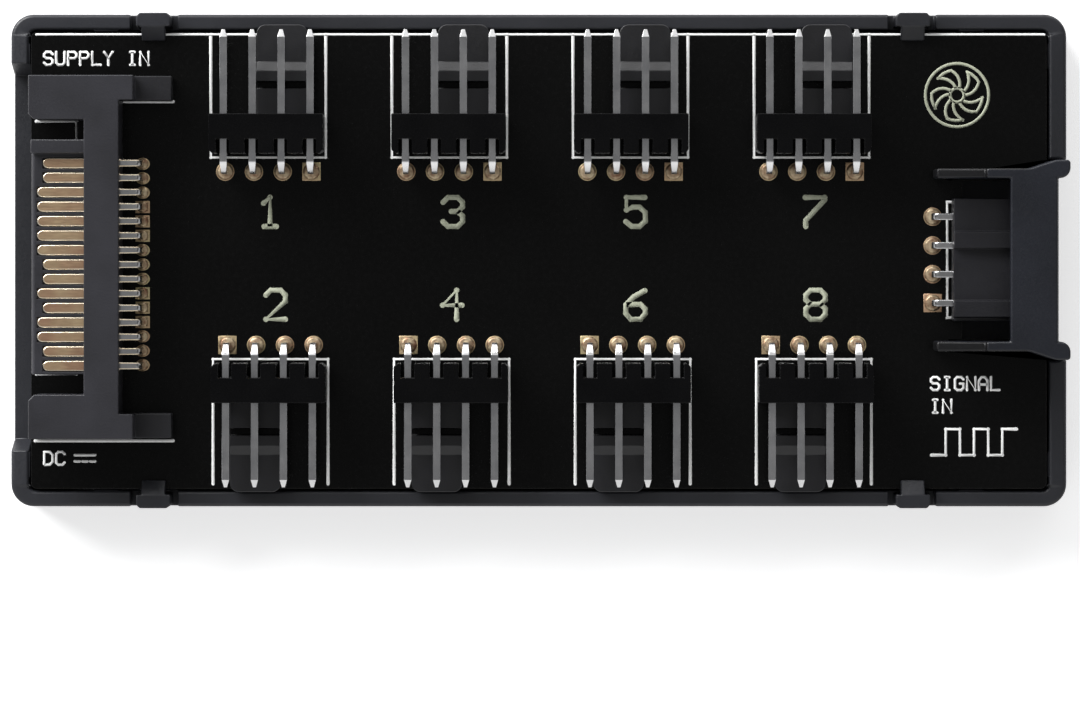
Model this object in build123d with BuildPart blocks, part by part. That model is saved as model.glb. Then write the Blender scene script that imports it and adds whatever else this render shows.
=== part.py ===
from build123d import *
import math
import os

os.makedirs("parts", exist_ok=True)

# Tray: a moulded open box, long side along X, standing on the XY plane
tray_length = 93.3
tray_width = 43.5
tray_corner = 2.0
tray_inner_corner = 0.6
tray_foot_break = 0.5
rim_break = 0.2
rim_drop = 0.1
floor_thickness = 1.6
side_wall = 1.4
end_wall = 1.6
sill_height = 2.0
plug_mouth_lean = 0.9
plug_mouth_slope = 3.6
inlet_mouth_lean = 0.2
inlet_mouth_slope = 0.2
inlet_recess = 0.6

# Snap clips in the long walls, each a springy arm between two slots with a hook over the board
clip_stations = (-34.0, 33.0)
clip_width = 3.0
clip_thickness = 1.2
clip_corner = 0.3
clip_slot = 0.6
clip_root = 3.8
clip_bulge = 0.1
clip_rise = 1.5
hook_width = 2.1
hook_overhang = 0.75
hook_gap = 0.05
hook_nose = 0.4

# Board and what carries it in the tray
board_gap = 0.2
board_lift = 3.0
board_thickness = 1.6
board_corner = 0.5
hole_gap = 0.06
hole_sides = 8
ledge_size = 3.0
rib_stations = (-16.0, 0.0, 16.0)
rib_width = 1.2
rib_depth = 1.6
post_width = 3.2
post_web = 0.9
locator_length = 2.2
locator_proud = 0.12
locator_inset = 3.4

# Fan headers: distances run outwards from the row of pins in the board, heights from the board's top
header_pitch = 16.0
header_rows = 4
upper_setback = 12.3
lower_setback = 12.68
upper_shift = 0.1
lower_shift = 0.3
pin_pitch = 2.54
pin_count = 4
pin_size = 0.64
pin_height = 3.3
pin_reach = 12.45
pin_bend = 0.9
bend_chords = 3
pin_tip_length = 0.65
pin_tip_size = 0.35
tail_length = 1.5
wafer_rear = 1.55
wafer_front = 5.0
wafer_height = 5.9
wafer_side = 1.19
wafer_corner = 0.3
wafer_notch_depth = 1.25
wafer_notch_side = 0.28
press_fit = 0.01
lock_width = 4.5
lock_lift = 0.25
lock_thickness = 1.3
lock_reach = 12.93
lock_corner = 0.8
ramp_start = 9.65
ramp_crest = 8.85
ramp_catch = 7.92
ramp_height = 0.6
groove_width = 0.6
groove_depth = 0.9

# Power plug: distances run inwards from the board's end, heights from the board's top
plug_centre = 0.3
contact_count = 15
contact_pitch = 1.27
contact_width = 0.92
contact_thickness = 0.3
contact_proud = 0.08
nose_sides = 12
short_contacts = (1, 2, 8, 9, 11, 14, 15)
long_setback = 0.85
short_setback = 1.35
plug_tail_width = 0.6
plug_tail_setback = 9.85
plug_tail_bend = 0.45
tongue_setback = 0.35
tongue_top = 4.2
tongue_thickness = 1.4
tongue_lead = 0.25
tongue_key_margin = 2.07
tongue_plain_margin = 0.75
key_width = 1.2
key_height = 0.9
window_width = 1.75
arm_width = 3.87
arm_setback = 0.2
arm_lead = 0.5
plug_body_setback = 5.05
plug_body_depth = 3.05
plug_height = 5.8
lug_width = 2.17
lug_tall_length = 1.25
lug_length = 4.45
lug_height = 2.6
plug_peg_diameter = 1.4
plug_gap = 0.3

# Control input: distances run outwards from the board's other end, heights from the board's top
inlet_centre = 0.05
inlet_notch_depth = 7.45
inlet_notch_gap = 0.15
socket_rear = -8.4
socket_front = -0.6
socket_side = 1.59
socket_sink = 1.2
socket_height = 4.8
socket_corner = 0.3
socket_rib_width = 1.47
socket_rib_height = 0.8
socket_rib_gap = 4.6
cavity_size = 1.16
cavity_depth = 6.5
box_size = 1.1
box_bore = 0.74
box_inset = 1.0
box_length = 5.0
box_bore_depth = 4.5
inlet_tail_width = 0.6
inlet_tail_thickness = 0.4
inlet_tail_height = 1.6
inlet_tail_reach = -10.05
inlet_tail_bend = 0.5

# Guard frame round the control input
frame_rear = -10.05
frame_step = -5.75
frame_step_height = 5.7
frame_height = 6.5
frame_inner = 7.15
frame_arm = 0.85
roof_rear = -3.65
roof_front = 0.5
roof_thickness = 1.0
flare_start = -1.95
flare_end = 0.32
flare_width = 0.75
flare_round = 1.6
cheek_inset = 0.2
cheek_corner = 0.3
cheek_nose = 0.9
frame_gap = 0.1
frame_bar_front = 0.55
frame_bar_height = 0.8
frame_peg_diameter = 0.7
frame_peg_setback = 1.5

# Parts under the board
capacitor_length = 3.2
capacitor_width = 1.6
capacitor_height = 1.4
capacitor_offset = 4.6
diode_length = 4.4
diode_width = 3.6
diode_height = 2.2
diode_setback = 5.5

# Levels and sizes that follow
board_bottom = floor_thickness + board_lift
board_top = board_bottom + board_thickness
rim_top = board_top - rim_drop
board_length = tray_length - 2 * end_wall - 2 * board_gap
board_width = tray_width - 2 * side_wall - 2 * board_gap
tail_drop = board_thickness + tail_length
pin_span = (pin_count - 1) * pin_pitch
contact_span = (contact_count - 1) * contact_pitch
tongue_width = contact_span + tongue_key_margin + tongue_plain_margin
plug_width = tongue_width + 2 * window_width + 2 * arm_width
contact_row = (tongue_plain_margin - tongue_key_margin) / 2
frame_outer = frame_inner + frame_arm
frame_flare = frame_outer + flare_width
cheek_front = board_gap + end_wall - cheek_inset


def hole_for(width, depth):
    """Diameter of a drilled hole that clears a bar of this section."""
    return math.hypot(width, depth) + 2 * hole_gap


def drill(diameter):
    """A drilled hole, flat-sided to keep the many holes light, whose flats clear the diameter."""
    RegularPolygon(diameter / 2, hole_sides, major_radius=False, mode=Mode.SUBTRACT)


def bent_wire(start, corner, bottom, height, radius):
    """Points of a wire that runs level from start, turns down at corner and ends at bottom."""
    turn = math.copysign(radius, start - corner)
    angles = [math.radians(90 * step / bend_chords) for step in range(bend_chords + 1)]
    arc = [
        (corner + turn * (1 - math.sin(angle)), height - radius * (1 - math.cos(angle)))
        for angle in angles
    ]
    return [(start, height), *arc, (corner, bottom)]


def upright(place, along):
    """Plane across a row of pins: X runs outwards, Y runs up, and it stands at a place on the row."""
    return Plane(place.from_local_coords((along, 0, 0)), x_dir=place.y_dir, z_dir=place.x_dir)


def facing(place, height):
    """Plane that looks along a row of pins' own outward direction, at a height over the board."""
    return Plane(place.from_local_coords((0, 0, height)), x_dir=place.x_dir, z_dir=place.y_dir)


# Where each header stands: odd numbers along the upper edge, even ones along the lower edge
fan_places = {}
for column in range(header_rows):
    across = (column - (header_rows - 1) / 2) * header_pitch
    upper_row = (across + upper_shift, board_width / 2 - upper_setback, board_top)
    lower_row = (across + lower_shift, lower_setback - board_width / 2, board_top)
    fan_places[2 * column + 1] = Plane(upper_row, x_dir=(1, 0, 0))
    fan_places[2 * column + 2] = Plane(lower_row, x_dir=(-1, 0, 0))
pin_rows = [pin * pin_pitch - pin_span / 2 for pin in range(pin_count)]
lock_centre = pin_span / 2 - pin_pitch

plug_place = Plane((-board_length / 2, plug_centre, board_top))
contact_rows = [contact_row + contact_span / 2 - n * contact_pitch for n in range(contact_count)]
lug_centre = (plug_width - lug_width) / 2
lug_start = plug_body_setback + plug_body_depth
plug_pegs = [(lug_start + lug_length - lug_width / 2, side * lug_centre) for side in (1, -1)]

inlet_place = Plane((board_length / 2, inlet_centre, board_top))
arm_centre = frame_inner + frame_arm / 2
frame_pegs = [(frame_rear + frame_peg_setback, side * arm_centre) for side in (1, -1)]

# Tray shell
with BuildPart() as tray:
    with BuildSketch():
        RectangleRounded(tray_length, tray_width, tray_corner)
    extrude(amount=rim_top)
    chamfer(tray.faces().sort_by(Axis.Z)[0].edges(), tray_foot_break)
    with BuildSketch(Plane.XY.offset(floor_thickness)):
        RectangleRounded(tray_length - 2 * end_wall, tray_width - 2 * side_wall, tray_inner_corner)
    extrude(amount=rim_top - floor_thickness, mode=Mode.SUBTRACT)
    chamfer(tray.faces().sort_by(Axis.Z)[-1].edges(), rim_break)

    # Ledges in the corners, ribs on the long walls and crossed posts on the middle line carry the board
    ledge_places = (tray_length - 2 * end_wall - ledge_size, tray_width - 2 * side_wall - ledge_size)
    with BuildSketch(Plane.XY.offset(floor_thickness)):
        with GridLocations(ledge_places[0], ledge_places[1], 2, 2):
            Rectangle(ledge_size, ledge_size)
        for side in (1, -1):
            rib_centre = side * (tray_width / 2 - side_wall - rib_depth / 2)
            with Locations(*[(station, rib_centre) for station in rib_stations]):
                Rectangle(rib_width, rib_depth)
        with Locations(*[(station, 0) for station in rib_stations]):
            Rectangle(post_width, post_web)
            Rectangle(post_web, post_width)
    extrude(amount=board_lift)

    # Locating pads that centre the board between the walls
    end_pad = tray_width / 2 - side_wall - locator_inset + locator_length / 2
    side_pad = tray_length / 2 - end_wall - 2 * locator_inset
    with BuildSketch(Plane.XY.offset(floor_thickness)):
        with GridLocations(tray_length - 2 * end_wall, 2 * end_pad, 2, 2):
            Rectangle(2 * locator_proud, locator_length)
        with GridLocations(2 * side_pad, tray_width - 2 * side_wall, 2, 2):
            Rectangle(locator_length, 2 * locator_proud)
    extrude(amount=rim_top - floor_thickness - rim_break)

    # Cut-outs in the end walls, which lean out towards the rim
    for end, centre, half, lean, slope in (
        (-1, plug_centre, plug_width / 2 + plug_gap, plug_mouth_lean, plug_mouth_slope),
        (1, inlet_centre, frame_flare + frame_gap, inlet_mouth_lean, inlet_mouth_slope),
    ):
        with BuildSketch(Plane.YZ.offset(end * tray_length / 2)):
            with BuildLine():
                Polyline(
                    (centre - half, sill_height),
                    (centre + half, sill_height),
                    (centre + half, rim_top - slope),
                    (centre + half + lean, rim_top),
                    (centre - half - lean, rim_top),
                    (centre - half, rim_top - slope),
                    close=True,
                )
            make_face()
        extrude(amount=-end * (end_wall + locator_proud), mode=Mode.SUBTRACT)

    # Recess in the outer face below the control input, so that its mouth stands clear of the wall
    with BuildSketch():
        with Locations(((tray_length - inlet_recess) / 2, inlet_centre)):
            Rectangle(inlet_recess, 2 * (frame_inner + cheek_nose))
    extrude(amount=sill_height, mode=Mode.SUBTRACT)

    # Snap clips
    for station in clip_stations:
        for side in (1, -1):
            wall = Plane((station, side * tray_width / 2, 0), x_dir=(0, side, 0), z_dir=(side, 0, 0))
            with BuildSketch(wall):
                with Locations((-side_wall / 2, (clip_root + rim_top) / 2)):
                    Rectangle(side_wall, rim_top - clip_root)
            extrude(amount=clip_width / 2 + clip_slot, both=True, mode=Mode.SUBTRACT)
            root = Plane((station, side * tray_width / 2, clip_root), x_dir=(side, 0, 0), z_dir=(0, 0, 1))
            with BuildSketch(root):
                with BuildLine():
                    Polyline(
                        (-clip_width / 2, clip_bulge - clip_thickness),
                        (clip_width / 2, clip_bulge - clip_thickness),
                        (clip_width / 2, clip_bulge - clip_corner),
                        (clip_width / 2 - clip_corner, clip_bulge),
                        (clip_corner - clip_width / 2, clip_bulge),
                        (-clip_width / 2, clip_bulge - clip_corner),
                        close=True,
                    )
                make_face()
            extrude(amount=rim_top + clip_rise - clip_root)
            hook_tip = -side_wall - board_gap - hook_overhang
            with BuildSketch(wall):
                with BuildLine():
                    Polyline(
                        (clip_bulge - clip_thickness, board_top + hook_gap),
                        (hook_tip, board_top + hook_gap),
                        (hook_tip, board_top + hook_gap + hook_nose),
                        (clip_bulge - clip_thickness, rim_top + clip_rise),
                        close=True,
                    )
                make_face()
            extrude(amount=hook_width / 2, both=True)
tray.part.label = "base_tray"
export_step(tray.part, "parts/base_tray.step")

# Board, with a notch at the control input and a drilled hole for every pin and peg
fan_hole = hole_for(pin_size, pin_size)
plug_hole = hole_for(plug_tail_width, contact_thickness)
inlet_hole = hole_for(inlet_tail_width, inlet_tail_thickness)
with BuildPart() as board:
    with BuildSketch(Plane.XY.offset(board_bottom)):
        RectangleRounded(board_length, board_width, board_corner)
        with Locations((board_length / 2 - inlet_notch_depth / 2, inlet_centre)):
            Rectangle(inlet_notch_depth, 2 * (frame_inner - inlet_notch_gap), mode=Mode.SUBTRACT)
        for place in fan_places.values():
            with Locations(*[place.from_local_coords((row, 0)) for row in pin_rows]):
                drill(fan_hole)
        with Locations(*[plug_place.from_local_coords((plug_tail_setback, row)) for row in contact_rows]):
            drill(plug_hole)
        with Locations(*[plug_place.from_local_coords(peg) for peg in plug_pegs]):
            drill(plug_peg_diameter + 2 * hole_gap)
        with Locations(*[inlet_place.from_local_coords((inlet_tail_reach, row)) for row in pin_rows]):
            drill(inlet_hole)
        with Locations(*[inlet_place.from_local_coords(peg) for peg in frame_pegs]):
            drill(frame_peg_diameter + 2 * hole_gap)
    extrude(amount=board_thickness)
board.part.label = "circuit_board"
export_step(board.part, "parts/circuit_board.step")

# Fan headers: a notched wafer with a ramped and grooved lock tab, and four bent square pins
wafer_depth = wafer_front - wafer_rear
lock_top = lock_lift + lock_thickness
for number, place in fan_places.items():
    outwards = Axis(place.origin, place.y_dir)
    with BuildPart() as housing:
        with BuildSketch(place):
            with Locations((0, wafer_rear + wafer_depth / 2)):
                Rectangle(pin_span + 2 * wafer_side, wafer_depth)
        extrude(amount=wafer_height)
        chamfer(housing.edges().filter_by(Axis.Z).sort_by(outwards)[:2], wafer_corner)
        with BuildSketch(place):
            with Locations(*[(row, wafer_rear + wafer_notch_depth / 2) for row in pin_rows]):
                Rectangle(pin_size + 2 * wafer_notch_side, wafer_notch_depth)
        extrude(amount=wafer_height, mode=Mode.SUBTRACT)
        with BuildSketch(upright(place, lock_centre)):
            with BuildLine():
                Polyline(
                    (wafer_front, lock_lift),
                    (lock_reach, lock_lift),
                    (lock_reach, lock_top),
                    (ramp_start, lock_top),
                    (ramp_crest, lock_top + ramp_height),
                    (ramp_catch, lock_top + ramp_height),
                    (ramp_catch, lock_top - groove_depth),
                    (ramp_catch - groove_width, lock_top - groove_depth),
                    (ramp_catch - groove_width, lock_top),
                    (wafer_front, lock_top),
                    close=True,
                )
            make_face()
        extrude(amount=lock_width / 2, both=True)
        fillet(housing.edges().filter_by(Axis.Z).sort_by(outwards)[-2:], lock_corner)
        with BuildSketch(facing(place, pin_height)):
            with Locations(*[(row, 0) for row in pin_rows]):
                Rectangle(pin_size + 2 * press_fit, pin_size + 2 * press_fit)
        extrude(amount=wafer_front, mode=Mode.SUBTRACT)
    housing.part.label = f"fan_header_{number}_housing"
    export_step(housing.part, f"parts/fan_header_{number}_housing.step")

    with BuildPart() as pins:
        with BuildSketch(*[upright(place, row) for row in pin_rows]):
            with BuildLine():
                Polyline(*bent_wire(pin_reach, 0, -tail_drop, pin_height, pin_bend))
            trace(line_width=pin_size)
        extrude(amount=pin_size / 2, both=True)
        for tip in range(pin_count):
            blunt = pins.faces().sort_by(outwards)[-pin_count:].sort_by(SortBy.AREA)[-1]
            chamfer(blunt.edges(), (pin_size - pin_tip_size) / 2, pin_tip_length, reference=blunt)
    pins.part.label = f"fan_header_{number}_pins"
    export_step(pins.part, f"parts/fan_header_{number}_pins.step")

# Power plug body: a bar across the plug, guide arms in front, lugs behind and the contact tongue
contact_level = tongue_top + contact_proud - contact_thickness
with BuildPart() as plug:
    with BuildSketch(plug_place):
        with Locations((plug_body_setback + plug_body_depth / 2, 0)):
            Rectangle(plug_body_depth, plug_width)
        arm_length = plug_body_setback - arm_setback
        with Locations((arm_setback + arm_length / 2, 0)):
            with GridLocations(0, plug_width - arm_width, 1, 2):
                Rectangle(arm_length, arm_width)
        with Locations((lug_start + lug_tall_length / 2, 0)):
            with GridLocations(0, 2 * lug_centre, 1, 2):
                Rectangle(lug_tall_length, lug_width)
    extrude(amount=plug_height)
    arm_fronts = plug.edges().filter_by(Axis.Z).group_by(Axis.X)[0].sort_by(Axis.Y)[1:3]
    chamfer(arm_fronts, arm_lead)
    with BuildSketch(plug_place):
        with Locations((lug_start + lug_length / 2, 0)):
            with GridLocations(0, 2 * lug_centre, 1, 2):
                Rectangle(lug_length, lug_width)
    extrude(amount=lug_height)
    tongue_length = plug_body_setback - tongue_setback
    with BuildSketch(plug_place.offset(tongue_top - tongue_thickness)):
        with Locations((tongue_setback + tongue_length / 2, 0)):
            Rectangle(tongue_length, tongue_width)
    extrude(amount=tongue_thickness)
    tongue_front = plug.faces().filter_by(Axis.X).filter_by(lambda face: face.area > tongue_width)
    chamfer(tongue_front.sort_by(Axis.X)[0].edges().filter_by(Axis.Y), tongue_lead)
    with BuildSketch(plug_place.offset(tongue_top)):
        with Locations((tongue_setback + tongue_length / 2, (tongue_width - key_width) / 2)):
            Rectangle(tongue_length, key_width)
    extrude(amount=key_height)
    with BuildSketch(plug_place.offset(contact_level - press_fit)):
        for number, row in enumerate(contact_rows, 1):
            front = short_setback if number in short_contacts else long_setback
            with Locations(((front + lug_start) / 2, row)):
                Rectangle(lug_start - front, contact_width + 2 * press_fit)
    extrude(amount=contact_thickness + 2 * press_fit, mode=Mode.SUBTRACT)
    with BuildSketch(plug_place):
        with Locations(*plug_pegs):
            RegularPolygon(plug_peg_diameter / 2, hole_sides)
    extrude(amount=-board_thickness)
plug.part.label = "power_plug_housing"
export_step(plug.part, "parts/power_plug_housing.step")

# Power contacts: round-nosed fingers that narrow to a bent tail behind the body
contact_middle = contact_level + contact_thickness / 2
with BuildPart() as contacts:
    with BuildSketch(plug_place.offset(contact_level)):
        for number, row in enumerate(contact_rows, 1):
            front = short_setback if number in short_contacts else long_setback
            nose = front + contact_width / 2
            with Locations(((nose + lug_start) / 2, row)):
                Rectangle(lug_start - nose, contact_width)
            with Locations((nose, row)):
                RegularPolygon(contact_width / 2, nose_sides)
    extrude(amount=contact_thickness)
    tail_planes = [Plane(plug_place.from_local_coords((0, row, 0)), x_dir=(1, 0, 0), z_dir=(0, -1, 0))
                   for row in contact_rows]
    with BuildSketch(*tail_planes):
        with BuildLine():
            Polyline(*bent_wire(lug_start, plug_tail_setback, -tail_drop, contact_middle, plug_tail_bend))
        trace(line_width=contact_thickness)
    extrude(amount=plug_tail_width / 2, both=True)
contacts.part.label = "power_plug_contacts"
export_step(contacts.part, "parts/power_plug_contacts.step")

# Control socket: its rear stands on the board and the rest hangs in the notch
socket_width = pin_span + 2 * socket_side
lock_row = pin_pitch / 2 - pin_pitch
rib_rows = [lock_row + side * (socket_rib_gap + socket_rib_width) / 2 for side in (1, -1)]
socket_step = inlet_notch_gap - inlet_notch_depth
with BuildPart() as socket:
    with BuildSketch(inlet_place):
        with Locations(((socket_rear + socket_front) / 2, 0)):
            Rectangle(socket_front - socket_rear, socket_width)
    extrude(amount=socket_height - socket_sink - socket_rib_height)
    with BuildSketch(inlet_place):
        with Locations(((socket_step + socket_front) / 2, 0)):
            Rectangle(socket_front - socket_step, socket_width)
    extrude(amount=-socket_sink)
    chamfer(socket.edges().filter_by(Axis.Z).group_by(Axis.X)[-1], socket_corner)
    with BuildSketch(inlet_place.offset(socket_height - socket_sink - socket_rib_height)):
        with Locations(*[((socket_rear + socket_front) / 2, row) for row in rib_rows]):
            Rectangle(socket_front - socket_rear, socket_rib_width)
    extrude(amount=socket_rib_height)
    mouth = Plane(inlet_place.from_local_coords((socket_front, 0, inlet_tail_height)), x_dir=(0, 1, 0),
                  z_dir=(1, 0, 0))
    with BuildSketch(mouth):
        with Locations(*[(row, 0) for row in pin_rows]):
            Rectangle(cavity_size, cavity_size)
    extrude(amount=-cavity_depth, mode=Mode.SUBTRACT)
    with BuildSketch(mouth):
        with Locations(*[(row, 0) for row in pin_rows]):
            Rectangle(inlet_tail_width + 2 * press_fit, inlet_tail_thickness + 2 * press_fit)
    extrude(amount=socket_rear - socket_front, mode=Mode.SUBTRACT)
socket.part.label = "control_input_socket"
export_step(socket.part, "parts/control_input_socket.step")

# Control contacts: a square box that grips the mating pin, and a bent tail
box_front = socket_front - box_inset
box_rear = box_front - box_length
with BuildPart() as sockets:
    box_plane = Plane(inlet_place.from_local_coords((box_front, 0, inlet_tail_height)), x_dir=(0, 1, 0),
                      z_dir=(1, 0, 0))
    with BuildSketch(box_plane):
        with Locations(*[(row, 0) for row in pin_rows]):
            Rectangle(box_size, box_size)
    extrude(amount=-box_length)
    with BuildSketch(box_plane):
        with Locations(*[(row, 0) for row in pin_rows]):
            Rectangle(box_bore, box_bore)
    extrude(amount=-box_bore_depth, mode=Mode.SUBTRACT)
    tail_planes = [Plane(inlet_place.from_local_coords((0, row, 0)), x_dir=(1, 0, 0), z_dir=(0, -1, 0))
                   for row in pin_rows]
    with BuildSketch(*tail_planes):
        with BuildLine():
            Polyline(*bent_wire(box_rear, inlet_tail_reach, -tail_drop, inlet_tail_height, inlet_tail_bend))
        trace(line_width=inlet_tail_thickness)
    extrude(amount=inlet_tail_width / 2, both=True)
sockets.part.label = "control_input_contacts"
export_step(sockets.part, "parts/control_input_contacts.step")

# Guard frame: two arms on the board, flared cheeks down to the sill, a roof and a bar between them
frame_drop = board_top - sill_height


def cheek_outline(side):
    """Plan of one arm with its flare and cheek."""
    return FilletPolyline(
        (frame_rear, side * frame_inner),
        (frame_rear, side * frame_outer),
        (flare_start, side * frame_outer),
        (flare_end, side * frame_flare),
        (cheek_front, side * frame_flare),
        (cheek_front, side * frame_inner),
        radius=[0, 0, flare_round, flare_round, cheek_corner, cheek_nose],
        close=True,
    )


with BuildPart() as frame:
    for side in (1, -1):
        with BuildSketch(inlet_place):
            with BuildLine():
                cheek_outline(side)
            make_face()
        extrude(amount=frame_height)
        with BuildSketch(inlet_place):
            with BuildLine():
                cheek_outline(side)
            make_face()
            with Locations((board_gap + cheek_front / 2, side * frame_inner)):
                Rectangle(cheek_front, 4 * flare_width, mode=Mode.INTERSECT)
        extrude(amount=-frame_drop)
    with BuildSketch(inlet_place.offset(frame_step_height)):
        with Locations(((frame_rear + frame_step) / 2, 0)):
            Rectangle(frame_step - frame_rear, 2 * frame_outer)
    extrude(amount=frame_height - frame_step_height, mode=Mode.SUBTRACT)
    with BuildSketch(inlet_place.offset(frame_height)):
        with Locations(((roof_rear + roof_front) / 2, 0)):
            Rectangle(roof_front - roof_rear, 2 * frame_inner)
    extrude(amount=-roof_thickness)
    with BuildSketch(inlet_place.offset(-frame_drop)):
        with Locations(((board_gap + frame_bar_front) / 2, 0)):
            Rectangle(frame_bar_front - board_gap, 2 * frame_inner)
    extrude(amount=frame_bar_height)
    with BuildSketch(inlet_place):
        with Locations(*frame_pegs):
            RegularPolygon(frame_peg_diameter / 2, hole_sides)
    extrude(amount=-board_thickness)
frame.part.label = "control_input_frame"
export_step(frame.part, "parts/control_input_frame.step")

# Chip capacitors, one behind each header, and the surge diode beside the power input
with BuildPart() as capacitors:
    with BuildSketch(Plane.XY.offset(board_bottom)):
        for place in fan_places.values():
            with Locations(place.from_local_coords((0, -capacitor_offset))):
                Rectangle(capacitor_length, capacitor_width)
    extrude(amount=-capacitor_height)
capacitors.part.label = "filter_capacitors"
export_step(capacitors.part, "parts/filter_capacitors.step")

with BuildPart() as diode:
    with BuildSketch(Plane.XY.offset(board_bottom)):
        with Locations(plug_place.from_local_coords((plug_tail_setback + diode_setback, contact_row))):
            Rectangle(diode_length, diode_width)
    extrude(amount=-diode_height)
diode.part.label = "surge_diode"
export_step(diode.part, "parts/surge_diode.step")
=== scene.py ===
import math

import bmesh
import bpy
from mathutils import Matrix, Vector


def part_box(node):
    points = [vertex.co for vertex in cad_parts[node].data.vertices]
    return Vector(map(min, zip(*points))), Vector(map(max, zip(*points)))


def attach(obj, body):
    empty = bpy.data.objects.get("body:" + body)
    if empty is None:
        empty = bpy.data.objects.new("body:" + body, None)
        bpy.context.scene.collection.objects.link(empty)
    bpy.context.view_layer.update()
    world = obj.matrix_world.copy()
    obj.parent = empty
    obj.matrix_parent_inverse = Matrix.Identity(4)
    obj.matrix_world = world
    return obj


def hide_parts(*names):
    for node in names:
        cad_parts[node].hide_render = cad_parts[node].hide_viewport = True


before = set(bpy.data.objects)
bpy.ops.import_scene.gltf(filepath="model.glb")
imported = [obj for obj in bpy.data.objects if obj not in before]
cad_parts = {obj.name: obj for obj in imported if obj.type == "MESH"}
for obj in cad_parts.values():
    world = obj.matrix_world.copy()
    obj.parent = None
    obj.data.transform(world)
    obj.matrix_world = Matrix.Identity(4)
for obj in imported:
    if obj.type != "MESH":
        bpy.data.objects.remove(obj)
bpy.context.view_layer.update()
scene = bpy.context.scene
scene.view_settings.view_transform = "Standard"
mm = 0.001
boardLow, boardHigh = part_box("circuit_board")
boardTop = boardHigh.z / mm
boardBottom = boardLow.z / mm
print("frame loaded:", len(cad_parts), "nodes, board top at", round(boardTop, 2), "mm")


def screen(red, green, blue):  # a colour as seen on screen, 0 to 255, for a socket
    def linear(value):
        value = value / 255
        return value / 12.92 if value <= 0.04045 else ((value + 0.055) / 1.055) ** 2.4

    return (linear(red), linear(green), linear(blue), 1.0)


def addNode(tree, kind, inputs=None, **settings):
    made = tree.nodes.new(kind)
    for key, value in settings.items():
        setattr(made, key, value)
    for key, value in (inputs or {}).items():
        if isinstance(value, bpy.types.NodeSocket):
            tree.links.new(value, made.inputs[key])
        else:
            made.inputs[key].default_value = value
    return made


# materials

def startMaterial(name):
    material = bpy.data.materials.new(name)
    material.use_nodes = True
    tree = material.node_tree
    coords = addNode(tree, "ShaderNodeTexCoord").outputs["Object"]
    return material, tree, tree.nodes["Principled BSDF"], coords


def noiseOf(tree, coords, perMetre, detail=3.0, stretch=None):
    if stretch:  # larger numbers squeeze the pattern along that axis
        coords = addNode(tree, "ShaderNodeMapping", {"Vector": coords, "Scale": stretch}).outputs["Vector"]
    inputs = {"Vector": coords, "Scale": perMetre, "Detail": detail}
    return addNode(tree, "ShaderNodeTexNoise", inputs).outputs["Fac"]


def rampOf(tree, factor, stops):
    ramp = addNode(tree, "ShaderNodeValToRGB", {"Fac": factor})
    ramp.color_ramp.elements[0].position, ramp.color_ramp.elements[0].color = stops[0]
    ramp.color_ramp.elements[1].position, ramp.color_ramp.elements[1].color = stops[-1]
    for position, colour in stops[1:-1]:
        ramp.color_ramp.elements.new(position).color = colour
    return ramp.outputs["Color"]


def blendOf(tree, factor, dark, light, low=0.35, high=0.65):
    return rampOf(tree, factor, [(low, dark), (high, light)])


def rangeOf(tree, value, low, high, fromLow=0.3, fromHigh=0.7):
    inputs = {"Value": value, "From Min": fromLow, "From Max": fromHigh, "To Min": low, "To Max": high}
    return addNode(tree, "ShaderNodeMapRange", inputs).outputs["Result"]


def bumpOf(tree, height, depth, over=None):
    inputs = {"Height": height, "Distance": depth * mm}
    if over:
        inputs["Normal"] = over
    return addNode(tree, "ShaderNodeBump", inputs).outputs["Normal"]


def paintWith(tree, shader, colour, roughness, normal):
    tree.links.new(colour, shader.inputs["Base Color"])
    tree.links.new(roughness, shader.inputs["Roughness"])
    tree.links.new(normal, shader.inputs["Normal"])


def mouldedPlastic(name, look):
    material, tree, shader, coords = startMaterial(name)
    drift = noiseOf(tree, coords, look["driftPerMetre"], detail=4.0)
    grain = noiseOf(tree, coords, look["grainPerMetre"], detail=2.0)
    colour = blendOf(tree, drift, look["dark"], look["light"])
    roughness = rangeOf(tree, grain, *look["roughness"])
    flow = bumpOf(tree, drift, look["flowDepth"])
    paintWith(tree, shader, colour, roughness, bumpOf(tree, grain, look["grainDepth"], flow))
    shader.inputs["Specular IOR Level"].default_value = look["shine"]
    return material


def platedMetal(name, look):
    material, tree, shader, coords = startMaterial(name)
    drawn = noiseOf(tree, coords, look["linePerMetre"], stretch=look["stretch"])
    cloud = noiseOf(tree, coords, look["cloudPerMetre"])
    colour = blendOf(tree, cloud, look["dark"], look["light"], low=0.3, high=0.7)
    roughness = rangeOf(tree, drawn, *look["roughness"])
    paintWith(tree, shader, colour, roughness, bumpOf(tree, drawn, look["lineDepth"]))
    shader.inputs["Metallic"].default_value = look["metallic"]
    return material


def solderMask(name, look):
    material, tree, shader, coords = startMaterial(name)
    drift = noiseOf(tree, coords, look["driftPerMetre"], detail=4.0)
    peel = noiseOf(tree, coords, look["peelPerMetre"], detail=2.0)
    weave = noiseOf(tree, coords, look["weavePerMetre"], detail=1.0, stretch=look["weaveStretch"])
    colour = blendOf(tree, drift, look["dark"], look["light"])
    roughness = rangeOf(tree, peel, *look["roughness"])
    cloth = bumpOf(tree, weave, look["weaveDepth"])  # glass cloth just showing through
    paintWith(tree, shader, colour, roughness, bumpOf(tree, peel, look["peelDepth"], cloth))
    shader.inputs["Specular IOR Level"].default_value = look["shine"]
    return material


def laminate(name, look):
    material, tree, shader, coords = startMaterial(name)
    plies = noiseOf(tree, coords, look["pliesPerMetre"], detail=2.0, stretch=look["pliesStretch"])
    colour = blendOf(tree, plies, look["resin"], look["glass"], low=0.4, high=0.6)
    roughness = rangeOf(tree, plies, *look["roughness"])
    paintWith(tree, shader, colour, roughness, bumpOf(tree, plies, look["pliesDepth"]))
    return material


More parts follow.
